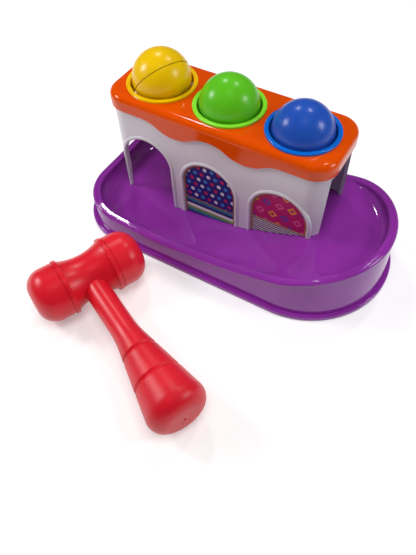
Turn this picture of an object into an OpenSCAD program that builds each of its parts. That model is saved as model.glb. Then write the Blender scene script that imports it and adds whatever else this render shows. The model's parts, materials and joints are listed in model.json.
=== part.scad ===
// Ball pounding toy: a tray base, a bakery-style tower with three caught balls, and a loose hammer.
// Millimetres, +Z up, -Y is the front. The origin is the middle of the face the toy stands on.

/* [Base] */
// Half length of the tray, outside of the wall
half_len = 126; // [110:0.5:155]
// Half depth of the tray and radius of its round right end, outside of the wall
wall_r = 65; // [61:0.2:80]
// Radius of the two corners at the tray's left end, outside of the wall
left_r = 41; // [34:0.5:58]
// How far the lip stands out past the wall
lip_out = 0.7; // [0.4:0.1:2]
// Height of the lip band
lip_h = 4.5; // [3:0.5:7]
// Width of the rim from the lip's outside to the floor's well
rim_w = 8; // [7:0.5:12]
// How far the base flange stands out past the wall
flange_out = 4.8; // [2:0.1:6]
// Height of the base flange
flange_h = 5; // [4:0.5:8]
// Rounding of the flange's edges
flange_round = 1.4; // [0.5:0.1:2]
// Wall of the tray
tray_wall = 2.5; // [1.8:0.1:3]
// Thickness of the base plate inside its flange
plate_t = 2; // [1.5:0.1:3]

/* [Tray curves] */
// Height of the rim at its low stretch
rim_low = 21.2; // [18:0.2:28]
// Where the rim is lowest
rim_low_x = -42; // [-60:1:-20]
// Radius of the rim's sweep
rim_r = 390; // [330:5:600]
// Where the sweep turns over on the left
rim_left_x = -95; // [-110:1:-80]
// Where the sweep turns over on the right
rim_right_x = 80; // [60:1:100]
// Radius of the sweep's two turns
rim_crown_r = 180; // [120:5:260]
// Height of the floor at its lowest line
floor_low = 9; // [8:0.5:13]
// Where the floor is lowest
floor_low_x = -58; // [-65:1:-25]
// Radius of the floor's valley
floor_r = 285; // [240:1:340]
// Radius of the valley's left side
floor_left_r = 160; // [70:1:300]
// Where the valley turns over on the left
floor_left_x = -95; // [-100:1:-80]
// Where the valley turns over on the right
floor_right_x = 60; // [45:1:70]
// Radius of the floor's two turns
floor_crown_r = 30; // [20:1:140]

/* [Tower] */
// Tower's middle from the tray's middle, along the length
tower_x = -19; // [-22:0.5:-12]
// Tower's middle from the tray's middle, toward the back
tower_y = 14; // [10:0.5:18]
// Half length of the tower
tower_a = 93.6; // [92:0.2:97]
// Half depth of the tower
tower_b = 31.4; // [31:0.2:34]
// Corner radius of the tower
tower_r = 16; // [13:0.5:18]
// Wall of the tower
tower_wall = 2.5; // [2:0.1:3]
// Distance between the balls and between the arches
pitch = 60; // [58:0.5:61]
// Half width of the open arch
door_w = 22; // [20:0.5:23.5]
// Height at which the open arch starts to curve
door_spring = 51; // [44:0.5:53]
// Middle of the middle arch from the tower's middle
middle_x = -2.3; // [-4:0.1:4]
// Half width of a closed arch
niche_w = 24; // [22:0.5:25]
// Height at which a closed arch starts to curve
niche_spring = 46; // [40:0.5:49]
// Depth of a closed arch's recess
niche_d = 1.2; // [0.8:0.1:1.4]
// Width of the raised band round each arch
band_w = 3.4; // [2.5:0.1:3.8]
// How far the band stands out of the wall
band_out = 0.9; // [0.5:0.1:1.2]
// Half widths of the left and right end openings at their tops
end_top_w = [22, 20.5];
// Half widths of the left and right end openings at the floor
end_foot_w = [32, 25.5];
// Height of the top of an end opening
end_top = 92; // [80:0.5:94]
// Thickness of a label
label_t = 0.4; // [0.3:0.05:0.6]
// Gap between a label and the edge of its recess
label_gap = 0.5; // [0.4:0.1:1]

/* [Roof] */
// Height of the collars' top face over the ground
ring_z = 110; // [104:0.5:114]
// How far the collars stand up from the roof
ring_up = 1.7; // [1.2:0.1:2.5]
// Thickness of the roof's top
roof_t = 3; // [2.5:0.1:4]
// Thickness of the roof's skirt
skirt_t = 1.6; // [1.2:0.1:2]
// Rounding of the roof's top edge
roof_round = 5; // [3:0.5:6]
// Depth of the skirt's middle line under the roof's top
skirt_mid = 16.2; // [13:0.1:18]
// Rise and fall of the skirt's wave
wave_h = 4.3; // [3:0.1:5]

/* [Balls] */
// Diameter of a ball
ball_d = 46; // [45:0.2:47]
// Wall of a ball
ball_wall = 1.6; // [1.2:0.1:2.4]
// Chamfer of a ball's halves where they meet
seam_w = 0.35; // [0.2:0.05:0.6]
// How far the yellow, green and blue balls' middles lie under the collars' top face
ball_drop = [-2.2, 0.8, 2.8];
// Inside radius of a collar
collar_in = 24.5; // [24:0.1:24.8]
// Outside radius of a collar's sleeve
sleeve_r = 26; // [25.6:0.1:26.4]
// Outside radius of a collar's lip
collar_r = 28; // [27.4:0.1:28.6]
// Length of a collar's sleeve under the roof's top face
sleeve_len = 10; // [8:0.5:11]
// Height of a grip ring
grip_h = 3; // [2:0.1:4]
// Number of fingers in a grip ring
fingers = 8; // [6:1:10]
// Thickness of a finger
finger_t = 1.5; // [1:0.1:2]

/* [Hammer] */
// Middle of the hammer's head, along the tray
hammer_x = -68; // [-78:0.5:-55]
// Middle of the hammer's head, in front of the tray
hammer_y = -120.8; // [-135:0.2:-118]
// Turn of the hammer on the ground
hammer_turn = -25.4; // [-35:0.1:-15]
// Radius of the head's end caps at their lips
cap_lip_r = 22; // [20:0.2:24]
// Radius of the caps behind their lips
cap_r = 21.2; // [19:0.2:21.6]
// Half length of the head
head_half = 44; // [40:0.5:50]
// Half length of the head's waist
waist_half = 17; // [15:0.5:19]
// Radius of the waist at its middle
waist_r = 17; // [15:0.2:18]
// Rounding of a cap's end
cap_round = 14; // [10:0.5:15]
// Radius of the handle's shank
shank_r = 9.6; // [8.5:0.1:10.5]
// Where the grip starts to swell, from the head's middle
swell_x = 62; // [55:0.5:70]
// Largest radius of the grip
grip_r = 21.6; // [20:0.2:22]
// Far end of the grip, from the head's middle
grip_end = 139; // [132:0.5:155]
// Rounding of the grip's end
grip_round = 11; // [8:0.5:13]
// Distances of the grip's two grooves from the head's middle
groove_x = [81, 105];
// Depth of a groove
groove_d = 1; // [0.5:0.1:1.5]
// Wall of the hollow grip
grip_wall = 2.4; // [1.8:0.1:3]

/* [Fasteners and fits] */
// Diameter of a screw's shank
screw_d = 3; // [2.5:0.1:3.5]
// Diameter of a screw's head
screw_head_d = 5.6; // [5:0.1:6.4]
// Height of a screw's head
screw_head_h = 2; // [1.6:0.1:2.4]
// Length of a screw's shank
screw_len = 9; // [7:0.5:10]
// Length of a plate screw's shank
plate_screw_len = 6; // [5:0.5:7]
// Diameter of a screw boss
boss_d = 8; // [7:0.2:9]
// Gap round a curved face that meets another piece
fit = 0.3; // [0.2:0.05:0.4]

/* [Hidden] */
$fn = 96;
big = 400;
hair = 0.02;
right_cx = half_len - wall_r;
left_cx = left_r - half_len;
left_cy = wall_r - left_r;
well_r = wall_r + lip_out - rim_w;
roof_top = ring_z - ring_up;
roof_under = roof_top - roof_t;
skirt_in = fit;
roof_a = tower_a + skirt_in + skirt_t;
roof_b = tower_b + skirt_in + skirt_t;
roof_r = tower_r + skirt_in + skirt_t;
ball_r = ball_d / 2;
grip_top = roof_top - sleeve_len;
finger_z = grip_top - grip_h;
wave_half = pitch / 2;
// Radius of the arcs that make the skirt's wave
wave_r = (pow(wave_half / 2, 2) + wave_h * wave_h) / (2 * wave_h);
column_x = pitch / 2;
column_y = tower_b - tower_wall - boss_d / 2 + 0.6;
column_top = 58;
tab_x = tower_a - tower_wall - boss_d / 2 - 3.4;
tab_y = tower_b - tower_wall - boss_d / 2 - 3.4;
// Depth of the tabs under the roof, and the steps down to the hammer's spigots and tenon
tab_drop = 18.3;
spigot_step = 2;
tenon_step = 2.6;
tab_z = roof_under - tab_drop;
tab_t = 3;
// Places of the plate's screws: from the two ends, from the sides, and along the middle
plate_screw_end = [30, 28];
plate_screw_side = [25, 12];
plate_screw_mid = 34;
plate_screws = [
  for (s = [1, -1]) each [
    [plate_screw_end[0] - half_len, s * (wall_r - plate_screw_side[0])],
    [half_len - plate_screw_end[1], s * (wall_r - plate_screw_side[0])],
    [plate_screw_mid, s * (wall_r - plate_screw_side[1])]
  ]
];
waist_edge = cap_r - 0.7;
waist_arc = (waist_half * waist_half + pow(waist_edge - waist_r, 2)) / (2 * (waist_edge - waist_r));
spigot_r = waist_r - spigot_step;
spigot_end = waist_half + 13;
tenon_r = shank_r - tenon_step;
tenon_end = -9;

function drop(r, d) = r - sqrt(r * r - d * d);
// Height of a ball's middle; k is -1, 0 or 1 from left to right
function ball_z(k) = ring_z - ball_drop[k + 1];
// Reach of a finger: it stops just short of the ball that it carries
function finger_in(k) = sqrt(ball_r * ball_r - pow(ball_z(k) - finger_z - finger_t, 2)) + fit;
// Floor height along the length, used to seat the pieces that stand on the floor
function floor_z(x) = floor_low + drop(floor_r, x - floor_low_x);

// Flat shapes
// The tray's outline; r is the radius of its round right end
module stadium(r) {
  translate([right_cx, 0]) circle(r);
  translate([left_cx, -r]) square([right_cx - left_cx, 2 * r]);
  translate([-half_len + wall_r - r, -left_cy]) square([half_len, 2 * left_cy]);
  for (s = [-1, 1]) translate([left_cx, s * left_cy]) circle(left_r + r - wall_r);
}

module round_rect(a, b, r) {
  square([2 * a, 2 * (b - r)], center = true);
  square([2 * (a - r), 2 * b], center = true);
  for (sx = [-1, 1], sy = [-1, 1]) translate([sx * (a - r), sy * (b - r)]) circle(r);
}

module arch(w, spring, foot) {
  translate([-w, foot]) square([2 * w, spring - foot]);
  translate([0, spring]) circle(w);
}

// A profile carried round the tray's outline; x in the profile is the radius of the right end
module stadium_sweep() {
  step_in = left_r - wall_r;
  translate([right_cx, 0, 0]) rotate([0, 0, -90]) rotate_extrude(angle = 180) children();
  translate([left_cx, left_cy, 0]) rotate([0, 0, 90]) rotate_extrude(angle = 90)
    translate([step_in, 0]) children();
  translate([left_cx, -left_cy, 0]) rotate([0, 0, 180]) rotate_extrude(angle = 90)
    translate([step_in, 0]) children();
  translate([left_cx, -left_cy, 0]) rotate([90, 0, 180]) linear_extrude(2 * left_cy)
    translate([step_in, 0]) children();
  translate([left_cx, 0, 0]) rotate([90, 0, 90]) linear_extrude(right_cx - left_cx) children();
  translate([right_cx, 0, 0]) rotate([90, 0, -90]) linear_extrude(right_cx - left_cx) children();
}

// A profile carried round a rounded rectangle; x in the profile is measured from the corner's axis
module rect_sweep(a, b, r) {
  for (k = [0, 1, 2, 3]) {
    sx = (k == 0 || k == 3) ? 1 : -1;
    sy = (k < 2) ? 1 : -1;
    translate([sx * (a - r), sy * (b - r), 0]) rotate([0, 0, 90 * k]) rotate_extrude(angle = 90) children();
  }
  for (s = [0, 1]) {
    rotate([0, 0, 180 * s]) translate([-(a - r), b - r, 0]) rotate([90, 0, 90])
      linear_extrude(2 * (a - r)) children();
    rotate([0, 0, 180 * s]) translate([a - r, b - r, 0]) rotate([90, 0, 0])
      linear_extrude(2 * (b - r)) children();
  }
}

// What is cut away over one side of a valley: the sweep, then the corner over its turn-over.
// The corner starts a hair past the tangent
module over_side(low_z, r, run, crown) {
  lean = run / r;
  mid_x = run + crown * lean;
  mid_z = low_z + drop(r, run) - crown * sqrt(1 - lean * lean) + hair;
  past = run + 2 * sqrt(2 * hair / (1 / r + 1 / crown));
  intersection() {
    translate([0, -big / 2, low_z - 1]) cube([past, big, big]);
    translate([0, 0, low_z + r]) rotate([90, 0, 0]) cylinder(r = r, h = big + 2, center = true, $fn = 360);
  }
  difference() {
    translate([run, -big / 2, mid_z]) cube([mid_x - run, big, big]);
    translate([mid_x, 0, mid_z]) rotate([90, 0, 0])
      cylinder(r = crown, h = big + 2, center = true, $fn = 360);
  }
}

// Height of the level ground beyond the turn-over
function level_z(low_z, r, run, crown) = low_z + drop(r, run) + crown * (1 - sqrt(1 - pow(run / r, 2)));

// Everything under a curve that runs along the length: a valley with a turn-over at each end
module under(low_x, low_z, r, left_r, left_x, right_x, crown, shift) {
  right_run = right_x - low_x;
  left_run = low_x - left_x;
  translate([low_x, 0, shift]) difference() {
    union() {
      translate([0, -big / 2, -60]) cube([big, big, 60 + level_z(low_z, r, right_run, crown)]);
      translate([-big, -big / 2, -60])
        cube([big + hair, big, 60 + level_z(low_z, left_r, left_run, crown)]);
    }
    over_side(low_z, r, right_run, crown);
    mirror([1, 0, 0]) over_side(low_z, left_r, left_run, crown);
  }
}

module under_rim(shift) {
  under(rim_low_x, rim_low, rim_r, rim_r, rim_left_x, rim_right_x, rim_crown_r, shift);
}

module under_floor(shift) {
  under(floor_low_x, floor_low, floor_r, floor_left_r, floor_left_x, floor_right_x, floor_crown_r, shift);
}

module screw(len) {
  difference() {
    cylinder(d = screw_head_d, h = screw_head_h);
    for (a = [0, 90]) rotate([0, 0, a])
      cube([screw_head_d * 0.6, screw_head_d * 0.15, screw_head_h * 1.2], center = true);
  }
  translate([0, 0, screw_head_h]) cylinder(d = screw_d, h = len);
}

// Base
module base_plate() {
  color("rebeccapurple") difference() {
    union() {
      linear_extrude(plate_t) stadium(wall_r - tray_wall);
      stadium_sweep() {
        r = wall_r + flange_out;
        translate([wall_r - 10, 0]) square([10 + flange_out - flange_round, flange_h]);
        translate([wall_r - 10, flange_round]) square([10 + flange_out, flange_h - 2 * flange_round]);
        translate([r - flange_round, flange_round]) circle(flange_round);
        translate([r - flange_round, flange_h - flange_round]) circle(flange_round);
        translate([wall_r - 2 * tray_wall + fit, 0]) square([tray_wall - 2 * fit, flange_h + 3]);
      }
      for (p = plate_screws) translate([p[0], p[1], 0]) cylinder(d = boss_d + 3, h = flange_h);
    }
    for (p = plate_screws) translate([p[0], p[1], -1]) {
      cylinder(d = screw_head_d + 2 * fit, h = 1 + 0.4 + screw_head_h);
      cylinder(d = screw_d + 2 * fit, h = flange_h + 4);
    }
  }
}

module base_tray() {
  color("mediumorchid") {
    difference() {
      union() {
        intersection() {
          translate([0, 0, flange_h]) linear_extrude(80) stadium(wall_r);
          under_rim(0);
        }
        intersection() {
          linear_extrude(90) stadium(wall_r + lip_out);
          difference() {
            under_rim(0);
            under_rim(-lip_h);
          }
        }
      }
      difference() {
        linear_extrude(90) stadium(well_r);
        under_floor(0);
      }
      intersection() {
        linear_extrude(90) stadium(wall_r - 2 * tray_wall);
        under_floor(-tray_wall);
      }
      intersection() {
        linear_extrude(90) difference() {
          stadium(wall_r - tray_wall);
          stadium(wall_r - 2 * tray_wall);
        }
        under_rim(-tray_wall);
      }
      for (sx = [-1, 1], sy = [-1, 1]) tower_screw_cut(sx, sy);
    }
    difference() {
      for (p = plate_screws) intersection() {
        translate([p[0], p[1], flange_h]) cylinder(d = boss_d, h = 60);
        under_floor(-tray_wall / 2);
      }
      for (p = plate_screws) translate([p[0], p[1], flange_h - 1])
        cylinder(d = screw_d + 2 * fit, h = plate_screw_len + 1);
    }
    for (sx = [-1, 1], sy = [-1, 1]) difference() {
      translate([column_at(sx)[0], column_at(sx, sy)[1], pad_z(sx) - 3.4])
        cylinder(d = boss_d + 1.6, h = 3.4);
      tower_screw_cut(sx, sy);
    }
  }
}

function column_at(sx, sy = 1) = [tower_x + sx * column_x, tower_y + sy * column_y];
function pad_z(sx) = floor_z(column_at(sx)[0]) + 1.6;

module tower_screw_cut(sx, sy) {
  translate([column_at(sx, sy)[0], column_at(sx, sy)[1], 0]) {
    translate([0, 0, -1]) cylinder(d = screw_head_d + 2 * fit, h = pad_z(sx) - 2 + 1);
    cylinder(d = screw_d + 2 * fit, h = 40);
  }
}

module base_screws() {
  color("silver") for (p = plate_screws) translate([p[0], p[1], 0.4]) screw(plate_screw_len);
}

module tower_screws() {
  color("silver") for (sx = [-1, 1], sy = [-1, 1])
    translate([column_at(sx, sy)[0], column_at(sx, sy)[1], pad_z(sx) - 2 - screw_head_h]) screw(screw_len);
}

// Tower
// A half-round bead that follows an arch; its middle lies inside the wall
module arch_band(w, spring, x) {
  bead_r = (band_w * band_w / 4 + band_out * band_out) / (2 * band_out);
  intersection() {
    translate([x, bead_r - band_out - tower_b, 0]) {
      for (s = [-1, 1]) translate([s * (w + band_w * 0.42), 0, 0]) cylinder(r = bead_r, h = spring);
      translate([0, 0, spring]) rotate([90, 0, 0]) rotate_extrude(angle = 180)
        translate([w + band_w * 0.42, 0]) circle(bead_r);
    }
    translate([-big / 2, -tower_b - 5, 0]) cube([big, 5 + tower_wall / 2, big]);
  }
}

module end_cut() {
  for (s = [0, 1]) rotate([0, 0, 180 * (1 - s)]) translate([tower_a - tower_r, 0, 0])
    rotate([90, 0, 90]) linear_extrude(tower_r + 5)
    polygon([[-end_top_w[s], end_top], [end_top_w[s], end_top], [end_foot_w[s], 0], [-end_foot_w[s], 0]]);
}

module tower_body() {
  color("whitesmoke") difference() {
    translate([tower_x, tower_y, 0]) {
      difference() {
        union() {
          linear_extrude(roof_under) round_rect(tower_a, tower_b, tower_r);
          arch_band(door_w, door_spring, -pitch);
          arch_band(niche_w, niche_spring, middle_x);
          arch_band(niche_w, niche_spring, pitch);
        }
        translate([0, 0, -1]) linear_extrude(big)
          round_rect(tower_a - tower_wall, tower_b - tower_wall, tower_r - tower_wall);
        translate([-pitch, -tower_b + tower_wall + 1, 0]) rotate([90, 0, 0]) linear_extrude(20)
          arch(door_w, door_spring, -1);
        for (x = [middle_x, pitch]) translate([x, -tower_b + niche_d, 0]) rotate([90, 0, 0])
          linear_extrude(20) arch(niche_w, niche_spring, -1);
        end_cut();
      }
      for (sx = [-1, 1], sy = [-1, 1]) {
        difference() {
          translate([sx * column_x, sy * column_y, 0]) cylinder(d = boss_d, h = column_top);
          translate([sx * column_x, sy * column_y, -1])
            cylinder(d = screw_d + 2 * fit, h = pad_z(sx) + screw_len + 1);
        }
        intersection() {
          difference() {
            translate([sx * tab_x, sy * tab_y, tab_z]) cylinder(d = boss_d + 6, h = tab_t);
            translate([sx * tab_x, sy * tab_y, 0]) cylinder(d = screw_d + 2 * fit, h = big);
          }
          linear_extrude(big)
            round_rect(tower_a - tower_wall / 2, tower_b - tower_wall / 2, tower_r - tower_wall / 2);
        }
      }
    }
    difference() {
      under_floor(fit);
      for (sx = [-1, 1], sy = [-1, 1])
        translate([column_at(sx, sy)[0], column_at(sx, sy)[1], 0]) cylinder(d = boss_d, h = 60);
    }
    for (sx = [-1, 1], sy = [-1, 1]) translate([column_at(sx, sy)[0], column_at(sx, sy)[1], -1])
      cylinder(d = boss_d + 1.6 + 2 * fit, h = pad_z(sx) + 1);
  }
}

module label(x) {
  difference() {
    translate([tower_x + x, tower_y - tower_b + niche_d, 0]) rotate([90, 0, 0]) linear_extrude(label_t)
      arch(niche_w - label_gap, niche_spring, 0);
    under_floor(fit + label_gap);
  }
}

module middle_label() {
  color("midnightblue") label(middle_x);
}

module right_label() {
  color("mediumvioletred") label(pitch);
}

// Roof
module skirt_cutter(mid) {
  // What is cut off under the wave: hollows over the arches, lobes between them, level round the ends
  difference() {
    translate([-big / 2, 0]) square([big, mid]);
    for (s = [-1, 1]) intersection() {
      translate([s * pitch / 2, mid + wave_r - wave_h]) circle(wave_r);
      translate([-big / 2, 0]) square([big, mid + 0.01]);
    }
  }
  for (k = [-1 : 1]) translate([k * pitch, mid - wave_r + wave_h]) circle(wave_r);
  for (s = [-1, 1]) translate([s * (pitch + big / 2) - big / 2, 0]) square([big, mid + wave_h]);
}

module roof() {
  mid = roof_top - skirt_mid;
  deep = mid - wave_h;
  color("orangered") translate([tower_x, tower_y, 0]) {
    difference() {
      union() {
        rect_sweep(roof_a, roof_b, roof_r) {
          translate([0, deep]) square([roof_r, roof_top - roof_round - deep]);
          translate([0, roof_top - roof_round]) square([roof_r - roof_round, roof_round]);
          translate([roof_r - roof_round, roof_top - roof_round]) circle(roof_round);
        }
        translate([-(roof_a - roof_r), -(roof_b - roof_r), deep])
          cube([2 * (roof_a - roof_r), 2 * (roof_b - roof_r), roof_top - deep]);
      }
      translate([0, 0, -1]) linear_extrude(1 + roof_under)
        round_rect(tower_a + skirt_in, tower_b + skirt_in, tower_r + skirt_in);
      rotate([90, 0, 0]) linear_extrude(big, center = true) skirt_cutter(mid);
      for (k = [-1 : 1]) translate([k * pitch, 0, 0]) cylinder(r = sleeve_r + fit, h = big);
    }
    for (sx = [-1, 1], sy = [-1, 1]) difference() {
      translate([sx * tab_x, sy * tab_y, tab_z + tab_t])
        cylinder(d = boss_d - 1, h = roof_under - tab_z - tab_t + roof_t / 2);
      translate([sx * tab_x, sy * tab_y, 0]) cylinder(d = screw_d + 2 * fit, h = tab_z + screw_len + 0.5);
    }
  }
}

module roof_screws() {
  color("silver") translate([tower_x, tower_y, 0]) for (sx = [-1, 1], sy = [-1, 1])
    translate([sx * tab_x, sy * tab_y, tab_z - screw_head_h]) screw(screw_len);
}

// Collars, grips and balls
module collar() {
  lip_round = min(ring_up * 0.45, 0.8);
  rotate_extrude() {
    translate([collar_in, roof_top]) square([collar_r - collar_in, ring_up - lip_round]);
    translate([collar_in + lip_round, roof_top]) square([collar_r - collar_in - 2 * lip_round, ring_up]);
    translate([collar_in + lip_round, ring_z - lip_round]) circle(lip_round);
    translate([collar_r - lip_round, ring_z - lip_round]) circle(lip_round);
    translate([collar_in, grip_top]) square([sleeve_r - collar_in, sleeve_len + 0.5]);
  }
  for (a = [30 : 120 : 270]) rotate([0, 0, a]) intersection() {
    rotate_extrude() polygon([
      [sleeve_r - 0.5, roof_under - 3], [sleeve_r, roof_under - 3],
      [sleeve_r + 1.2, roof_under], [sleeve_r - 0.5, roof_under]]);
    translate([0, -4, 0]) cube([40, 8, 200]);
  }
}

module grip(k) {
  reach = finger_in(k);
  rotate_extrude() translate([collar_in, finger_z]) square([sleeve_r - collar_in, grip_h]);
  intersection() {
    rotate_extrude() translate([reach, finger_z]) square([collar_in + 0.5 - reach, finger_t]);
    for (n = [0 : fingers - 1]) rotate([0, 0, 360 * n / fingers])
      translate([0, -PI * reach / fingers + 1, 0])
      cube([40, 2 * PI * reach / fingers - 2, 200]);
  }
}

module at_ball(k) {
  translate([tower_x + k * pitch, tower_y, 0]) children();
}

// One half of a hollow ball, with the seam's chamfer; the seam is turned as it lies in the photo
module half_ball(k, side, tilt) {
  at_ball(k) translate([0, 0, ball_z(k)]) rotate(tilt) difference() {
    intersection() {
      sphere(ball_r);
      translate([-50, -50, side > 0 ? 0 : -100]) cube([100, 100, 100]);
    }
    sphere(ball_r - ball_wall);
    rotate_extrude() polygon([[ball_r - seam_w, 0], [ball_r + 1, 0], [ball_r + 1, side * (1 + seam_w)]]);
  }
}

module yellow_collar() { color("gold") at_ball(-1) collar(); }
module green_collar() { color("limegreen") at_ball(0) collar(); }
module blue_collar() { color("dodgerblue") at_ball(1) collar(); }
module yellow_grip() { color("gold") at_ball(-1) grip(-1); }
module green_grip() { color("limegreen") at_ball(0) grip(0); }
module blue_grip() { color("dodgerblue") at_ball(1) grip(1); }
yellow_tilt = [-20, -50, 0];
green_tilt = [0, 12, 0];
blue_tilt = [8, 0, 40];
module yellow_ball_upper() { color("gold") half_ball(-1, 1, yellow_tilt); }
module yellow_ball_lower() { color("gold") half_ball(-1, -1, yellow_tilt); }
module green_ball_upper() { color("limegreen") half_ball(0, 1, green_tilt); }
module green_ball_lower() { color("limegreen") half_ball(0, -1, green_tilt); }
module blue_ball_upper() { color("royalblue") half_ball(1, 1, blue_tilt); }
module blue_ball_lower() { color("royalblue") half_ball(1, -1, blue_tilt); }

// Hammer: the handle lies along x and the head along y before it is laid on the ground
module lay() {
  translate([hammer_x, hammer_y, cap_lip_r]) rotate([0, 0, hammer_turn]) children();
}

module waist(gap) {
  rotate([90, 0, 0]) difference() {
    cylinder(r = waist_edge + gap, h = 2 * waist_half, center = true);
    rotate_extrude() translate([waist_r + waist_arc, 0]) circle(waist_arc - gap, $fn = 180);
  }
}

module hammer_head() {
  color("crimson") lay() difference() {
    union() {
      waist(0);
      rotate([90, 0, 0]) cylinder(r = spigot_r, h = 2 * spigot_end, center = true);
    }
    translate([tenon_end, 0, 0]) rotate([0, 90, 0]) cylinder(r = tenon_r + fit, h = 60);
    for (s = [-1, 1]) rotate([s * 90, 0, 0]) translate([0, 0, waist_half])
      cylinder(r = spigot_r - 3, h = 40);
  }
}

module cap() {
  rotate_extrude() difference() {
    union() {
      translate([0, waist_half]) square([cap_lip_r, 3]);
      translate([0, waist_half]) square([cap_r - 0.6, 6]);
      translate([0, waist_half + 4]) square([cap_r, head_half - cap_round - waist_half - 4]);
      translate([0, head_half - cap_round]) square([cap_r - cap_round, cap_round]);
      translate([cap_r - cap_round, head_half - cap_round]) circle(cap_round);
    }
    translate([0, waist_half - 1]) square([spigot_r + fit, spigot_end - waist_half + 1 + fit]);
    translate([-50, 0]) square([50, 100]);
  }
}

module hammer_cap_left() { color("crimson") lay() rotate([90, 0, 0]) cap(); }
module hammer_cap_right() { color("crimson") lay() rotate([-90, 0, 0]) cap(); }

// Where the grip's cone touches the circle that rounds its end
grip_c = [grip_r - grip_round, grip_end - grip_round];
cone_v = [grip_c[0] - shank_r, grip_c[1] - swell_x];
cone_len = norm(cone_v);
cone_a = atan2(cone_v[0], cone_v[1]) + asin(grip_round / cone_len);
touch = [grip_c[0] + grip_round * cos(cone_a), grip_c[1] - grip_round * sin(cone_a)];
function cone_r(s) = shank_r + (s - swell_x) * tan(cone_a);

module grip_profile(inset) {
  polygon([[0, swell_x], [shank_r - inset, swell_x],
    [touch[0] - inset * cos(cone_a), touch[1] + inset * sin(cone_a)], [0, touch[1]]]);
  translate([0, touch[1] - 1]) square([grip_c[0], grip_end - inset - touch[1] + 1]);
  intersection() {
    translate(grip_c) circle(grip_round - inset);
    translate([0, touch[1] - 10]) square([50, 60]);
  }
  polygon([
    [0, touch[1] - 1], [touch[0] - inset * cos(cone_a), touch[1] + inset * sin(cone_a)],
    grip_c, [0, grip_c[1]]]);
}

module hammer_handle() {
  color("crimson") lay() {
    difference() {
      rotate([0, 90, 0]) rotate_extrude() {
        grip_profile(0);
        translate([0, swell_x - 46]) square([shank_r, 46]);
      }
      waist(fit);
      rotate([0, 90, 0]) rotate_extrude() grip_profile(grip_wall);
      rotate([0, 90, 0]) cylinder(d = 1.6, h = grip_end + 5, $fn = 24);
      for (s = groove_x) rotate([0, 90, 0]) rotate_extrude()
        translate([cone_r(s) - groove_d, s]) square([6, 1.6]);
    }
    translate([tenon_end, 0, 0]) rotate([0, 90, 0]) cylinder(r = tenon_r, h = swell_x - tenon_end - 4);
  }
}

base_plate();
base_tray();
base_screws();
tower_body();
tower_screws();
middle_label();
right_label();
roof();
roof_screws();
yellow_collar();
green_collar();
blue_collar();
yellow_grip();
green_grip();
blue_grip();
yellow_ball_upper();
yellow_ball_lower();
green_ball_upper();
green_ball_lower();
blue_ball_upper();
blue_ball_lower();
hammer_head();
hammer_cap_left();
hammer_cap_right();
hammer_handle();
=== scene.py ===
import json
import math

import bmesh
import bpy
from mathutils import Matrix, Vector


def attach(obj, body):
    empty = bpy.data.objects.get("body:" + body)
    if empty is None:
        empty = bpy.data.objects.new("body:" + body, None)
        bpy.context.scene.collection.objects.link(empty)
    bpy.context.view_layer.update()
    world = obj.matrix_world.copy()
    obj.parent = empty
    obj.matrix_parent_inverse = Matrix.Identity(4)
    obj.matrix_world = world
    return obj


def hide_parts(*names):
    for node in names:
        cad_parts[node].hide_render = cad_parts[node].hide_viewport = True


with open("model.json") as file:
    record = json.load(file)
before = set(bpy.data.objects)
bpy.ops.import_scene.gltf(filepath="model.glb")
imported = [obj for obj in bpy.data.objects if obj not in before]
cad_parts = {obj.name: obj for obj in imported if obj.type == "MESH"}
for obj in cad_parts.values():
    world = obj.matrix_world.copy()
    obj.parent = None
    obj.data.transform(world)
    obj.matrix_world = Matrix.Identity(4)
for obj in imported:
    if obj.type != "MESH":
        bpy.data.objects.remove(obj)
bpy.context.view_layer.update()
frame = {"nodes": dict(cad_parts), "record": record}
nodes = frame["nodes"]
scene = bpy.context.scene
mm = 0.001
print("frame loaded,", len(nodes), "nodes")


# Camera at the photo's viewing angle, for a frame of 416 by 555
cameraView = {
    "target": (-0.0005, -0.0239, -0.0243),
    "azimuth": 30.19,
    "elevation": 52.06,
    "roll": -0.77,
    "distance": 0.485,
    "lens": 47.32,
    "sensor": 36,
    "shift": (-0.0471, -0.0435),
    "clipStart": 0.01,
}


def makeCamera(view):
    azimuth = math.radians(view["azimuth"])
    elevation = math.radians(view["elevation"])
    level = math.cos(elevation)
    back = Vector((math.sin(azimuth) * level, -math.cos(azimuth) * level, math.sin(elevation)))
    right = (-back).cross(Vector((0, 0, 1))).normalized()
    turned = Matrix((right, right.cross(-back), back)).transposed()
    data = bpy.data.cameras.new("camera")
    data.sensor_fit = "HORIZONTAL"
    data.sensor_width = view["sensor"]
    data.lens = view["lens"]
    data.shift_x, data.shift_y = view["shift"]
    data.clip_start = view["clipStart"]
    camera = bpy.data.objects.new("camera", data)
    scene.collection.objects.link(camera)
    roll = Matrix.Rotation(math.radians(view["roll"]), 3, "Z")
    camera.matrix_world = (turned @ roll).to_4x4()
    camera.location = Vector(view["target"]) + back * view["distance"]
    scene.camera = camera


makeCamera(cameraView)
print("camera set")


# Shader maths: a socket that takes part in plain arithmetic
def feed(tree, item, socket):
    if isinstance(item, Value):
        tree.links.new(item.socket, socket)
    elif isinstance(item, tuple) and socket.type == "RGBA":
        socket.default_value = (*item, 1)
    else:
        socket.default_value = item


# any node: its type, its settings, then the values or links of its sockets
def addNode(tree, kind, settings, sockets, out=0):
    made = tree.nodes.new("ShaderNode" + kind)
    for key, item in settings.items():
        setattr(made, key, item)
    for key, item in sockets.items():
        feed(tree, item, made.inputs[key])
    return Value(tree, made.outputs[out])


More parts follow.
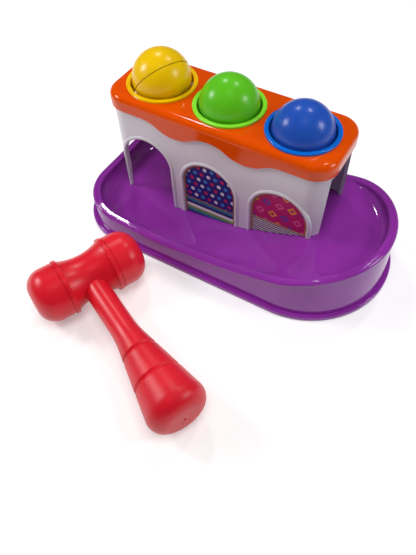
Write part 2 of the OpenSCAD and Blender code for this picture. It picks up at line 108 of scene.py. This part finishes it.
class Value:
    def __init__(self, tree, socket):
        self.tree = tree
        self.socket = socket

    def maths(self, operation, *items):
        return addNode(self.tree, "Math", {"operation": operation}, dict(enumerate(items)))

    def __add__(self, other):
        return self.maths("ADD", self, other)

    def __radd__(self, other):
        return self.maths("ADD", other, self)

    def __sub__(self, other):
        return self.maths("SUBTRACT", self, other)

    def __rsub__(self, other):
        return self.maths("SUBTRACT", other, self)

    def __mul__(self, other):
        return self.maths("MULTIPLY", self, other)

    def __rmul__(self, other):
        return self.maths("MULTIPLY", other, self)

    def __truediv__(self, other):
        return self.maths("DIVIDE", self, other)

    def __rtruediv__(self, other):
        return self.maths("DIVIDE", other, self)

    def __mod__(self, other):
        return self.maths("FLOORED_MODULO", self, other)

    def __rmod__(self, other):
        return self.maths("FLOORED_MODULO", other, self)

    def __lt__(self, other):
        return self.maths("LESS_THAN", self, other)

    def __gt__(self, other):
        return self.maths("GREATER_THAN", self, other)

    def __abs__(self):
        return self.maths("ABSOLUTE", self)

    def floor(self):
        return self.maths("FLOOR", self)

    def fract(self):
        return self.maths("FRACT", self)

    def root(self):
        return self.maths("SQRT", self)

    def largest(self, other):
        return self.maths("MAXIMUM", self, other)

    # a soft step: 0 at low, 1 at high, falling where low is the larger
    def between(self, low, high):
        settings = {"interpolation_type": "SMOOTHSTEP"}
        sockets = {"Value": self, "From Min": low, "From Max": high}
        return addNode(self.tree, "MapRange", settings, sockets, "Result")


class Finish:
    def __init__(self, name):
        self.material = bpy.data.materials.new(name)
        self.material.use_nodes = True
        self.tree = self.material.node_tree
        self.shader = self.tree.nodes["Principled BSDF"]

    def node(self, kind, settings, sockets, out=0):
        return addNode(self.tree, kind, settings, sockets, out)

    def place(self, centre=(0, 0, 0), turn=(0, 0, 0)):
        spot = self.node("TexCoord", {}, {}, "Object")
        sockets = {"Vector": spot, "Location": centre, "Rotation": turn}
        return self.node("Mapping", {"vector_type": "TEXTURE"}, sockets)

    def axes(self, spot):
        return [self.node("SeparateXYZ", {}, {"Vector": spot}, axis) for axis in "XYZ"]

    def noise(self, spot, scale, detail=2.0, roughness=0.5):
        sockets = {"Vector": spot, "Scale": scale, "Detail": detail, "Roughness": roughness}
        return self.node("TexNoise", {}, sockets, "Fac")

    def mix(self, factor, low, high):
        return self.node("Mix", {"data_type": "RGBA"}, {0: factor, 6: low, 7: high}, 2)

    def bump(self, height, strength, distance):
        return self.node("Bump", {}, {"Strength": strength, "Distance": distance, "Height": height})

    def set(self, **sockets):
        for key, item in sockets.items():
            feed(self.tree, item, self.shader.inputs[key.replace("_", " ")])
        return self.material


def shade(colour, factor):
    return tuple(min(1, part * factor) for part in colour)


# Moulded plastic: slow tone shift of the resin, orange peel from the mould, hair scratches in the gloss
resin = {
    "cloud": 28,
    "cloudSpan": (0.25, 0.75),
    "glossShift": 0.06,
    "peel": 700,
    "peelDeep": 0.0004,
    "scuff": 160,
    "scuffSpan": (0.56, 0.72),
    "ior": 1.5,
}
plastics = {
    "purple_shell": dict(colour=(0.29, 0.031, 0.37), roughness=0.06, peel=0.006),
    "white_shell": dict(colour=(0.73, 0.7, 0.75), roughness=0.2, peel=0.012, drift=0.012, scratch=0.0),
    "orange_shell": dict(colour=(0.81, 0.08, 0.0), roughness=0.08, peel=0.006, drift=0.03, gloss=0.3),
    "yellow_collar_plastic": dict(colour=(0.95, 0.58, 0.0), roughness=0.18, peel=0.015, drift=0.03),
    "green_collar_plastic": dict(colour=(0.27, 0.85, 0.035), roughness=0.18, peel=0.015, drift=0.03),
    "blue_collar_plastic": dict(colour=(0.0, 0.15, 0.68), roughness=0.18, peel=0.015, drift=0.03),
}


def mouldedPlastic(name, colour, roughness, peel, drift=0.07, scratch=0.05, gloss=0.5):
    finish = Finish(name)
    spot = finish.place()
    cloud = finish.noise(spot, resin["cloud"], 3)
    tone = cloud.between(*resin["cloudSpan"])
    scuff = finish.noise(spot, resin["scuff"], 4, 0.7).between(*resin["scuffSpan"])
    return finish.set(
        Base_Color=finish.mix(tone, shade(colour, 1 - drift), shade(colour, 1 + drift)),
        Roughness=roughness + (cloud - 0.5) * resin["glossShift"] + scuff * scratch,
        Normal=finish.bump(finish.noise(spot, resin["peel"]), peel, resin["peelDeep"]),
        IOR=resin["ior"],
        Specular_IOR_Level=gloss,
    )


finishes = {slot: mouldedPlastic(slot, **values) for slot, values in plastics.items()}


# Balls: the same resin with the fine dark line where the two halves meet
balls = {
    "yellow_ball_plastic": dict(colour=(0.92, 0.57, 0.0), centre=(-79, 14, 112.2), tilt=(-20, -50, 0)),
    "green_ball_plastic": dict(colour=(0.12, 0.58, 0.014), centre=(-19, 14, 109.2), tilt=(0, 12, 0)),
    "blue_ball_plastic": dict(colour=(0.018, 0.09, 0.5), centre=(41, 14, 107.2), tilt=(8, 0, 40)),
}
ballSkin = {"roughness": 0.26, "gloss": 0.36, "drift": 0.03, "peel": 0.015, "bump": 0.25, "bumpDeep": 0.0003}
seam = {"half": 0.00024, "soft": 0.0002, "dark": 0.42, "rough": 0.3}


def ballPlastic(name, ball, skin):
    finish = Finish(name)
    colour = ball["colour"]
    centre = tuple(part * mm for part in ball["centre"])
    turn = tuple(math.radians(part) for part in ball["tilt"])
    spot = finish.place(centre, turn)
    offSeam = abs(finish.axes(spot)[2])
    line = offSeam.between(seam["half"] + seam["soft"], seam["half"])
    cloud = finish.noise(spot, resin["cloud"], 3)
    tone = cloud.between(*resin["cloudSpan"])
    base = finish.mix(tone, shade(colour, 1 - skin["drift"]), shade(colour, 1 + skin["drift"]))
    height = finish.noise(spot, resin["peel"]) * skin["peel"] - line
    return finish.set(
        Base_Color=finish.mix(line, base, shade(colour, seam["dark"])),
        Roughness=skin["roughness"] + (cloud - 0.5) * resin["glossShift"] + line * seam["rough"],
        Normal=finish.bump(height, skin["bump"], skin["bumpDeep"]),
        IOR=resin["ior"],
        Specular_IOR_Level=skin["gloss"],
    )


for slot, ball in balls.items():
    finishes[slot] = ballPlastic(slot, ball, ballSkin)


# Hammer: satin red with the mould's fine pebble, coarser on the grip
hammerSkin = {
    "colour": (0.78, 0.008, 0.024),
    "centre": (-0.068, -0.1208, 0.022),
    "turn": -25.4,
    "grip": (0.06, 0.09),
    "cloud": 30,
    "cloudSpan": (0.3, 0.7),
    "tones": (0.92, 1.06),
    "fine": 900,
    "fineShare": 0.5,
    "pebble": 1500,
    "pebbleShare": 0.15,
    "pebbleOnGrip": 0.6,
    "roughness": 0.33,
    "roughOnGrip": 0.05,
    "glossShift": 0.08,
    "bump": 0.16,
    "bumpDeep": 0.0005,
}


def hammerPlastic(name, skin):
    finish = Finish(name)
    spot = finish.place(skin["centre"], (0, 0, math.radians(skin["turn"])))
    grip = finish.axes(spot)[0].between(*skin["grip"])
    cloud = finish.noise(spot, skin["cloud"], 3)
    dark, light = (shade(skin["colour"], factor) for factor in skin["tones"])
    sockets = {"Vector": spot, "Scale": skin["pebble"], "Randomness": 1.0}
    pebble = finish.node("TexVoronoi", {}, sockets, "Distance")
    fine = finish.noise(spot, skin["fine"], 3)
    height = fine * skin["fineShare"] + pebble * (grip * skin["pebbleOnGrip"] + skin["pebbleShare"])
    return finish.set(
        Base_Color=finish.mix(cloud.between(*skin["cloudSpan"]), dark, light),
        Roughness=skin["roughness"] + grip * skin["roughOnGrip"] + (cloud - 0.5) * skin["glossShift"],
        Normal=finish.bump(height, skin["bump"], skin["bumpDeep"]),
        IOR=resin["ior"],
    )


finishes["red_plastic"] = hammerPlastic("red_plastic", hammerSkin)


# Printed films: a plain spotted design and a plain lozenge design, each with a rule along the edge
middlePrint = {
    "centre": -0.0213,
    "pitch": 0.0062,
    "skyline": 0.0285,
    "band": 0.0031,
    "lozenge": False,
    "spotEdge": (0.29, 0.26),
    "coreEdge": (0.1, 0.07),
    "ground": (0.008, 0.014, 0.17),
    "rule": (0.36, 0.16, 0.02),
    "spots": [(0.85, 0.82, 0.84), (0.62, 0.02, 0.05), (0.05, 0.26, 0.62)],
    "bands": [(0.01, 0.2, 0.3), (0.2, 0.34, 0.05), (0.8, 0.8, 0.76), (0.01, 0.02, 0.12)],
}
rightPrint = {
    "centre": 0.041,
    "pitch": 0.0105,
    "skyline": 0.0375,
    "band": 0.0011,
    "lozenge": True,
    "spotEdge": (0.36, 0.33),
    "coreEdge": (0.2, 0.17),
    "ground": (0.5, 0.012, 0.12),
    "rule": (0.45, 0.2, 0.02),
    "spots": [(0.8, 0.36, 0.02), (0.72, 0.12, 0.3), (0.03, 0.06, 0.4)],
    "bands": [(0.02, 0.02, 0.03), (0.75, 0.72, 0.7)],
}
film = {
    "spring": 0.046,
    "half": 0.0235,
    "edge": 0.0013,
    "ruleHalf": 0.0007,
    "lozengeWide": 0.9,
    "ink": 400,
    "roughness": 0.3,
    "inkRough": 0.1,
    "bump": 0.03,
    "bumpDeep": 0.0003,
    "ior": 1.48,
}


def pickColour(finish, index, colours):
    result = colours[0]
    for number, colour in enumerate(colours[1:], 1):
        result = finish.mix(index > (number - 0.5), result, colour)
    return result


def printedFilm(name, design):
    finish = Finish(name)
    spot = finish.place()
    x, _, z = finish.axes(spot)
    across = x - design["centre"]
    rise = (z - film["spring"]).largest(0.0)
    reach = (across * across + rise * rise).root()  # distance from the arch's middle, for the rule

    # a grid of cells, every other row half a cell along, with one motif in each
    row = (z / design["pitch"]).floor()
    column = across / design["pitch"] + (row % 2.0) * 0.5
    cellX = abs(column.fract() - 0.5)
    cellZ = abs((z / design["pitch"]).fract() - 0.5)
    cell = (column.floor() * 2.0 + row * 5.0) % 3.0
    if design["lozenge"]:
        offMiddle = cellX * film["lozengeWide"] + cellZ
    else:
        offMiddle = (cellX * cellX + cellZ * cellZ).root()
    motif = pickColour(finish, cell, design["spots"])
    field = finish.mix(offMiddle.between(*design["spotEdge"]), design["ground"], motif)
    field = finish.mix(offMiddle.between(*design["coreEdge"]), field, design["ground"])

    stripe = (z / design["band"]).floor() % float(len(design["bands"]))
    stripes = pickColour(finish, stripe, design["bands"])
    art = finish.mix(z < design["skyline"], field, stripes)
    line = abs(z - design["skyline"]) < film["ruleHalf"]
    line = line.largest(reach > (film["half"] - film["edge"]))
    ink = finish.noise(spot, film["ink"], 3)
    return finish.set(
        Base_Color=finish.mix(line, art, design["rule"]),
        Roughness=film["roughness"] + ink * film["inkRough"],
        Normal=finish.bump(ink, film["bump"], film["bumpDeep"]),
        IOR=film["ior"],
    )


finishes["middle_print"] = printedFilm("middle_print", middlePrint)
finishes["right_print"] = printedFilm("right_print", rightPrint)


# Zinc-plated steel for the screws
zinc = {
    "dull": (0.5, 0.5, 0.51),
    "bright": (0.62, 0.62, 0.6),
    "stain": 300,
    "grain": 2500,
    "roughness": 0.28,
    "grainRough": 0.14,
    "bump": 0.05,
    "bumpDeep": 0.0002,
}


def zincSteel(name, plating):
    finish = Finish(name)
    spot = finish.place()
    grain = finish.noise(spot, plating["grain"], 3)
    stain = finish.noise(spot, plating["stain"], 3)
    return finish.set(
        Base_Color=finish.mix(stain, plating["dull"], plating["bright"]),
        Roughness=plating["roughness"] + grain * plating["grainRough"],
        Normal=finish.bump(grain, plating["bump"], plating["bumpDeep"]),
        Metallic=1.0,
    )


finishes["screw_steel"] = zincSteel("screw_steel", zinc)
slotOf = {entry["node"]: entry["material_slot"] for entry in frame["record"]["subparts"]}
for name, node in nodes.items():
    node.data.materials.clear()
    node.data.materials.append(finishes[slotOf[name]])
print("finishes made,", len(finishes))


# Ways that the pieces share: quads between rings of points, a plain mesh, a piece on its body
def skinLoops(mesh, loops):
    count = len(loops[0])
    for first, second in zip(loops, loops[1:]):
        for step in range(count):
            after = (step + 1) % count
            mesh.faces.new((first[step], first[after], second[after], second[step]))


def toMesh(mesh, name):
    bmesh.ops.recalc_face_normals(mesh, faces=mesh.faces)
    for face in mesh.faces:
        face.smooth = True
    data = bpy.data.meshes.new(name)
    mesh.to_mesh(data)
    mesh.free()
    return data


def bake(holder, name):
    bpy.context.view_layer.update()
    graph = bpy.context.evaluated_depsgraph_get()
    mesh = bpy.data.meshes.new_from_object(holder.evaluated_get(graph))
    mesh.name = name
    bpy.data.objects.remove(holder)
    return mesh


def addPiece(name, mesh, body, slot, replaced):
    piece = bpy.data.objects.new(name, mesh)
    scene.collection.objects.link(piece)
    if not mesh.materials:
        mesh.materials.append(finishes[slot])
    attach(piece, body)
    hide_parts(replaced)


# Tray: rings round the outline, from the foot over the rim into the curved floor, in mm
tray = {
    "halfLen": 126.0,
    "wallR": 65.0,
    "leftR": 41.0,
    "foot": 5.0,
    "footLip": 0.6,
    "flare": 1.6,
    "rim": dict(lowX=-42.0, lowZ=21.2, r=390.0, leftR=390.0, leftX=-95.0, rightX=80.0, crown=180.0),
    "floor": dict(lowX=-58.0, lowZ=9.0, r=285.0, leftR=160.0, leftX=-95.0, rightX=60.0, crown=30.0),
    # outside of the lip, its rounded top and the fine groove: offset from the wall, height from the rim
    "lip": [(0.0, -5.4), (0.0, -4.9), (0.25, -4.6), (0.8, -4.45), (1.0, -4.1), (1.05, -3.2)],
    "lipOut": 1.05,
    "lipRound": (3.0, 2.4),
    "groove": [(-2.0, -0.02), (-2.15, -0.3), (-2.4, -0.3), (-2.55, 0.0), (-2.65, 0.0)],
    "inner": 6.0,
    "edgeR": 1.5,
    "edgeGap": 0.1,
    # the cove's width at the left and right end, how far under the rim it starts, its least height
    "cove": (14.0, 8.5),
    "coveDrop": 2.6,
    "coveLeast": 1.0,
    "floorShares": (0.12, 0.26, 0.42, 0.58, 0.74, 0.88, 1.0),
    "wall": 1.6,
    "weld": 0.02,
}


# height of a curve that dips between two ends: an arc in the middle, then a crown that eases out level
def valley(x, shape):
    def arc(radius, run):
        return radius - math.sqrt(radius * radius - run * run)

    side = 1 if x >= shape["lowX"] else -1
    radius = shape["r"] if side > 0 else shape["leftR"]
    turnX = shape["rightX"] if side > 0 else shape["leftX"]
    if (x - turnX) * side <= 0:
        return shape["lowZ"] + arc(radius, x - shape["lowX"])
    lean = (turnX - shape["lowX"]) / radius
    crown = shape["crown"]
    midX = turnX + crown * lean
    midZ = shape["lowZ"] + arc(radius, turnX - shape["lowX"]) - crown * math.sqrt(1 - lean * lean)
    if (x - midX) * side >= 0:
        return midZ + crown
    return midZ + math.sqrt(crown * crown - (x - midX) ** 2)


# stations: the point that the offset is measured from, the radius there, and the outward direction
def outline(shape):
    wallR = shape["wallR"]
    leftR = shape["leftR"]
    rightX = shape["halfLen"] - wallR
    leftX = leftR - shape["halfLen"]
    leftY = wallR - leftR
    stations = []

    def turn(x, y, radius, start, end, steps):
        for step in range(steps):
            angle = math.radians(start + (end - start) * step / steps)
            stations.append((x, y, radius, math.cos(angle), math.sin(angle)))

    def run(x0, y0, x1, y1, radius, dx, dy, steps):
        for step in range(steps):
            part = step / steps
            stations.append((x0 + (x1 - x0) * part, y0 + (y1 - y0) * part, radius, dx, dy))

    turn(rightX, 0, wallR, -90, 90, 72)
    run(rightX, 0, leftX, 0, wallR, 0, 1, 60)
    turn(leftX, leftY, leftR, 90, 180, 32)
    run(leftX, leftY, leftX, -leftY, leftR, -1, 0, 16)
    turn(leftX, -leftY, leftR, 180, 270, 32)
    run(leftX, 0, rightX, 0, wallR, 0, -1, 60)
    return stations


# each ring: offset from the wall, what the height is measured from, and the height;
# in the cove the offset and the height are shares of its width and its depth
def trayRings(shape):
    rings = [(shape["flare"], "flat", shape["foot"])]
    rings.append((shape["flare"], "flat", shape["foot"] + shape["footLip"]))
    rings += [(offset, "rim", height) for offset, height in shape["lip"]]
    wide, high = shape["lipRound"]
    for angle in range(15, 91, 15):
        turned = math.radians(angle)
        rings.append((shape["lipOut"] - wide * (1 - math.cos(turned)), "rim", high * (math.sin(turned) - 1)))
    rings += [(offset, "rim", height) for offset, height in shape["groove"]]
    edgeR = shape["edgeR"]
    flat = shape["inner"] - edgeR
    rings.append((shape["edgeGap"] - flat, "rim", 0.0))
    for angle in range(0, 81, 20):
        turned = math.radians(angle)
        rings.append((-flat - edgeR * math.sin(turned), "rim", edgeR * (math.cos(turned) - 1)))
    for angle in range(0, 91, 9):
        turned = math.radians(angle)
        rings.append((1 - math.cos(turned), "cove", 1 - math.sin(turned)))
    return rings


def trayPoint(shape, station, ring):
    x, y, radius, dx, dy = station
    inset, kind, height = ring
    if kind == "cove":
        along = (x + dx * radius + shape["halfLen"]) / (2 * shape["halfLen"])
        left, right = shape["cove"]
        inset = -shape["inner"] - (left + (right - left) * min(1, max(0, along))) * inset
    px = x + dx * (radius + inset)
    py = y + dy * (radius + inset)
    if kind == "flat":
        return px, py, height
    rim = valley(px, shape["rim"])
    if kind == "rim":
        return px, py, rim + height
    floor = valley(px, shape["floor"])
    return px, py, floor + max(shape["coveLeast"], rim - shape["coveDrop"] - floor) * height


def makeTray(shape):
    stations = outline(shape)
    rings = [[trayPoint(shape, station, ring) for station in stations] for ring in trayRings(shape)]
    edge = rings[-1]
    for share in shape["floorShares"]:
        ring = []
        for (px, py, _), station in zip(edge, stations):
            px = station[0] + (px - station[0]) * (1 - share)
            ring.append((px, py * (1 - share), valley(px, shape["floor"])))
        rings.append(ring)
    mesh = bmesh.new()
    skinLoops(mesh, [[mesh.verts.new(Vector(point) * mm) for point in ring] for ring in rings])
    bmesh.ops.remove_doubles(mesh, verts=mesh.verts, dist=shape["weld"] * mm)
    holder = bpy.data.objects.new("tray_holder", toMesh(mesh, "tray_sheet"))
    scene.collection.objects.link(holder)
    wall = holder.modifiers.new("wall", "SOLIDIFY")
    wall.thickness = shape["wall"] * mm
    wall.offset = -1
    addPiece("tray_shell", bake(holder, "tray_shell"), "toy", "purple_shell", "base_tray")


makeTray(tray)
print("tray made")


# Hammer handle: one turned profile, with soft-edged grooves and the saddle where it meets the head, in mm
handle = {
    "tenonR": 7.0,
    "tenonEnd": -9.0,
    "waistR": 17.0,
    "waistArc": 43.0,
    # gap to the waist and inset from the shank's radius
    "saddle": [(0.1, 0.3), (0.15, 0.05), (0.4, 0.0)],
    "shankR": 9.6,
    "shankFrom": 21.0,
    "swellX": 62.0,
    "swellSoft": 8.0,
    "gripR": 21.6,
    "gripEnd": 139.0,
    "gripRound": 11.0,
    "grooves": (82.0, 106.0),
    "grooveHalf": 1.9,
    "grooveDeep": 1.5,
    "step": 1.5,
    "fineStep": 0.25,
    "fineReach": 1.6,
    "endSteps": 14,
    "endFlat": 0.6,
    # depth from the end and distance past the hole's radius
    "vent": [(0.0, 0.7), (0.1, 0.2), (0.4, 0.0), (2.5, 0.0)],
    "ventR": 0.8,
    "around": 128,
}


# each ring: what it is measured from, the distance along the handle and the radius
def handleRings(shape):
    roundR = shape["gripRound"]
    midR = shape["gripR"] - roundR
    midX = shape["gripEnd"] - roundR
    rise = midR - shape["shankR"]
    run = midX - shape["swellX"]
    lean = math.atan2(rise, run) + math.asin(roundR / math.hypot(rise, run))
    soft = shape["swellSoft"]

    def radius(x):
        past = x - shape["swellX"]
        climb = max(past, 0.0)
        if abs(past) < soft:
            climb = (past + soft) ** 2 / (4 * soft)
        dip = 0.0
        for groove in shape["grooves"]:
            off = (x - groove) / shape["grooveHalf"]
            if abs(off) < 1:
                dip += shape["grooveDeep"] * (1 - off * off) ** 2
        return shape["shankR"] + climb * math.tan(lean) - dip

    rings = [("axis", shape["tenonEnd"], shape["tenonR"])]
    rings.append(("waist", shape["saddle"][0][0], shape["tenonR"]))
    rings += [("waist", gap, shape["shankR"] - inset) for gap, inset in shape["saddle"]]
    x = shape["shankFrom"]
    while x < midX - roundR * math.sin(lean):
        rings.append(("axis", x, radius(x)))
        near = min(abs(x - groove) for groove in shape["grooves"])
        x += shape["fineStep"] if near < shape["grooveHalf"] + shape["fineReach"] else shape["step"]
    for step in range(shape["endSteps"] + 1):
        turned = -lean + (math.pi / 2 + lean) * step / shape["endSteps"]
        rings.append(("axis", midX + roundR * math.sin(turned), midR + roundR * math.cos(turned)))
    rings.append(("axis", shape["gripEnd"], midR * shape["endFlat"]))
    rings += [("axis", shape["gripEnd"] - deep, shape["ventR"] + past) for deep, past in shape["vent"]]
    return rings


def makeHandle(shape, skin):
    mesh = bmesh.new()
    count = shape["around"]
    loops = []
    for start, along, radius in handleRings(shape):
        loop = []
        for step in range(count):
            angle = 2 * math.pi * step / count
            y = radius * math.cos(angle)
            z = radius * math.sin(angle)
            x = along
            if start == "waist":
                arc = shape["waistArc"]
                waist = shape["waistR"] + arc - math.sqrt(arc * arc - y * y)
                x += math.sqrt(waist * waist - z * z)
            loop.append(mesh.verts.new((x * mm, y * mm, z * mm)))
        loops.append(loop)
    skinLoops(mesh, loops)
    for loop in (loops[0], loops[-1]):
        pole = mesh.verts.new((loop[0].co.x, 0, 0))
        for step in range(count):
            mesh.faces.new((loop[step], loop[(step + 1) % count], pole))
    lying = Matrix.Translation(skin["centre"]) @ Matrix.Rotation(math.radians(skin["turn"]), 4, "Z")
    bmesh.ops.transform(mesh, matrix=lying, verts=mesh.verts)
    addPiece("handle_shell", toMesh(mesh, "handle_shell"), "hammer", "red_plastic", "hammer_handle")


makeHandle(handle, hammerSkin)
print("handle made")


# Screws: one node tree for the three sets, sizes in mm
screw = {"headD": 5.6, "headH": 2.0, "shankD": 3.0, "length": 9.0, "slot": 0.8, "reach": 3.4, "ridges": 9}
screwShape = {"headSides": 32, "shankSides": 20, "coreShare": 0.4, "ridgeShare": 0.5, "ridgeHigh": 0.8}
screwSets = {"base_screws": 6.0, "tower_screws": 9.0, "roof_screws": 9.0}  # length of each set
screwWeld = 0.01


def screwTree(sizes, shape):
    tree = bpy.data.node_groups.new("screwSet", "GeometryNodeTree")
    face = tree.interface
    face.new_socket("Points", in_out="INPUT", socket_type="NodeSocketGeometry")
    for key, value in sizes.items():
        whole = isinstance(value, int)
        kind = "NodeSocketInt" if whole else "NodeSocketFloat"
        face.new_socket(key, in_out="INPUT", socket_type=kind).default_value = value if whole else value * mm
    face.new_socket("Screws", in_out="OUTPUT", socket_type="NodeSocketGeometry")
    size = tree.nodes.new("NodeGroupInput").outputs
    outlet = tree.nodes.new("NodeGroupOutput")

    def add(kind, settings=None, **sockets):
        node = tree.nodes.new(kind)
        for key, item in (settings or {}).items():
            setattr(node, key, item)
        for key, item in sockets.items():
            socket = node.inputs[key.replace("_", " ")]
            if isinstance(item, bpy.types.NodeSocket):
                tree.links.new(item, socket)
            else:
                socket.default_value = item
        return node

    def maths(operation, first, second):
        node = add("ShaderNodeMath", {"operation": operation})
        for item, socket in zip((first, second), node.inputs):
            if isinstance(item, bpy.types.NodeSocket):
                tree.links.new(item, socket)
            else:
                socket.default_value = item
        return node.outputs[0]

    def times(socket, factor):
        return maths("MULTIPLY", socket, factor)

    def upright(height):
        return add("ShaderNodeCombineXYZ", Z=height).outputs[0]

    def rod(sides, radius, depth, middle):
        made = add("GeometryNodeMeshCylinder", Vertices=sides, Side_Segments=1, Radius=radius, Depth=depth)
        moved = add("GeometryNodeTransform", Geometry=made.outputs["Mesh"], Translation=upright(middle))
        return moved.outputs[0]

    coreR = times(size["shankD"], shape["coreShare"])
    head = rod(shape["headSides"], times(size["headD"], 0.5), size["headH"], times(size["headH"], 0.5))
    bar = add("ShaderNodeCombineXYZ", X=size["reach"], Y=size["slot"], Z=size["headH"])
    barMesh = add("GeometryNodeMeshCube", Size=bar.outputs[0]).outputs["Mesh"]
    # the second bar is a little shallower, so that no two cut faces lie in one plane
    crossed = add("GeometryNodeTransform", Geometry=barMesh, Rotation=(0, 0, math.pi / 2), Scale=(1, 1, 0.9))
    cut = add("GeometryNodeMeshBoolean", {"operation": "DIFFERENCE"})
    tree.links.new(head, cut.inputs[0])
    tree.links.new(barMesh, cut.inputs[1])
    tree.links.new(crossed.outputs[0], cut.inputs[1])
    shankMiddle = maths("ADD", times(size["length"], 0.5), size["headH"])
    shank = rod(shape["shankSides"], coreR, size["length"], shankMiddle)
    # the thread is a stack of narrow cones along the shank
    pitch = maths("DIVIDE", size["length"], size["ridges"])
    stack = add(
        "GeometryNodeMeshLine",
        {"mode": "OFFSET"},
        Count=size["ridges"],
        Start_Location=upright(size["headH"]),
        Offset=upright(pitch),
    )
    ridge = add(
        "GeometryNodeMeshCone",
        Vertices=shape["shankSides"],
        Radius_Top=coreR,
        Radius_Bottom=times(size["shankD"], shape["ridgeShare"]),
        Depth=times(pitch, shape["ridgeHigh"]),
    )
    thread = add("GeometryNodeInstanceOnPoints", Points=stack.outputs["Mesh"], Instance=ridge.outputs["Mesh"])
    whole = add("GeometryNodeJoinGeometry")
    for part in (cut.outputs["Mesh"], shank, thread.outputs["Instances"]):
        tree.links.new(part, whole.inputs[0])
    spots = add("GeometryNodeInstanceOnPoints", Points=size["Points"], Instance=whole.outputs[0])
    solid = add("GeometryNodeRealizeInstances", Geometry=spots.outputs["Instances"])
    steel = add("GeometryNodeSetMaterial", Geometry=solid.outputs[0], Material=finishes["screw_steel"])
    tree.links.new(steel.outputs[0], outlet.inputs[0])
    return tree


# the set's places come from the CAD node: the lowest points of its separate solids
def screwPlaces(node):
    mesh = bmesh.new()
    mesh.from_mesh(nodes[node].data)
    bmesh.ops.remove_doubles(mesh, verts=mesh.verts, dist=screwWeld * mm)
    left = set(mesh.verts)
    places = []
    while left:
        island = [left.pop()]
        for vert in island:
            for edge in vert.link_edges:
                other = edge.other_vert(vert)
                if other in left:
                    left.remove(other)
                    island.append(other)
        low = [min(vert.co[axis] for vert in island) for axis in range(3)]
        high = [max(vert.co[axis] for vert in island) for axis in range(3)]
        places.append(((low[0] + high[0]) / 2, (low[1] + high[1]) / 2, low[2]))
    mesh.free()
    return sorted(places)


def makeScrews(tree, node, length):
    points = bpy.data.meshes.new(node + "_points")
    points.from_pydata(screwPlaces(node), [], [])
    holder = bpy.data.objects.new(node + "_holder", points)
    scene.collection.objects.link(holder)
    maker = holder.modifiers.new("screws", "NODES")
    maker.node_group = tree
    for item in tree.interface.items_tree:
        if item.in_out == "INPUT" and item.name == "length":
            maker[item.identifier] = length * mm
    addPiece(node + "_set", bake(holder, node + "_set"), "toy", "screw_steel", node)


screws = screwTree(screw, screwShape)
for group, length in screwSets.items():
    makeScrews(screws, group, length)
print("screws made")


# Studio: a pale floor that grows white away from the toy
ground = {
    "half": 3.0,
    "drop": 0.0002,
    "colour": (0.88, 0.88, 0.88),
    "roughness": 0.9,
    "near": (0.32, 0.32, 0.32),
    "far": (1.0, 1.0, 1.0),
    "span": (0.3, 0.9),
}


def makeFloor(shape):
    half = shape["half"]
    corners = [(x * half, y * half, -shape["drop"]) for x, y in ((-1, -1), (1, -1), (1, 1), (-1, 1))]
    mesh = bpy.data.meshes.new("floor")
    mesh.from_pydata(corners, [], [(0, 1, 2, 3)])
    floor = bpy.data.objects.new("floor", mesh)
    scene.collection.objects.link(floor)
    finish = Finish("studio_floor")
    seen = finish.node("LightPath", {}, {}, "Is Camera Ray")
    mirrored = finish.node("LightPath", {}, {}, "Is Glossy Ray")
    x, y, _ = finish.axes(finish.place())
    away = (x * x + y * y).root().between(*shape["span"])
    inView = finish.mix(away, shape["near"], shape["far"])
    inGloss = finish.mix(mirrored, (0.0, 0.0, 0.0), shape["near"])
    finish.set(
        Base_Color=shape["colour"],
        Roughness=shape["roughness"],
        Specular_IOR_Level=0.0,
        Emission_Color=finish.mix(seen, inGloss, inView),
        Emission_Strength=1.0,
    )
    mesh.materials.append(finish.material)


# Lamps, with directions worked out from the balls' highlights: two soft boxes at the sides, two small
# lamps behind; the two broad fills show in no highlight, so they are left out of reflections
lamps = {
    "leftBox": dict(toward=(-0.80, -0.31, 0.51), away=0.75, size=0.2, power=1.7, mirrored=True),
    "rightBox": dict(toward=(0.82, 0.23, 0.52), away=0.9, size=0.28, power=2.1, mirrored=True),
    "backLeft": dict(toward=(-0.456, 0.43, 0.78), away=1.0, size=0.09, power=1.2, mirrored=True),
    "backRight": dict(toward=(0.07, 0.51, 0.86), away=1.0, size=0.08, power=1.2, mirrored=True),
    "leftFill": dict(toward=(-0.72, -0.52, 0.46), away=0.9, size=0.4, power=0.9, mirrored=False),
    "overhead": dict(toward=(0.16, -0.24, 0.96), away=1.2, size=0.6, power=6.2, mirrored=False),
}
studio = {"aim": (0, 0, 0.08), "dim": 0.06}


def makeLamps():
    for name, lamp in lamps.items():
        data = bpy.data.lights.new(name, "AREA")
        data.shape = "DISK"
        data.size = lamp["size"]
        data.energy = lamp["power"]
        light = bpy.data.objects.new(name, data)
        toward = Vector(lamp["toward"]).normalized()
        light.location = Vector(studio["aim"]) + toward * lamp["away"]
        light.rotation_euler = (-toward).to_track_quat("-Z", "Y").to_euler()
        light.visible_glossy = lamp["mirrored"]
        scene.collection.objects.link(light)


# white where the camera sees the world, dim as a light on the toy
def makeWorld():
    world = bpy.data.worlds.new("studio")
    world.use_nodes = True
    tree = world.node_tree
    background = tree.nodes["Background"]
    feed(tree, (1, 1, 1), background.inputs["Color"])
    seen = addNode(tree, "LightPath", {}, {}, "Is Camera Ray")
    feed(tree, seen * (1 - studio["dim"]) + studio["dim"], background.inputs["Strength"])
    scene.world = world


makeFloor(ground)
makeLamps()
makeWorld()
scene.view_settings.view_transform = "Standard"
print("studio set")
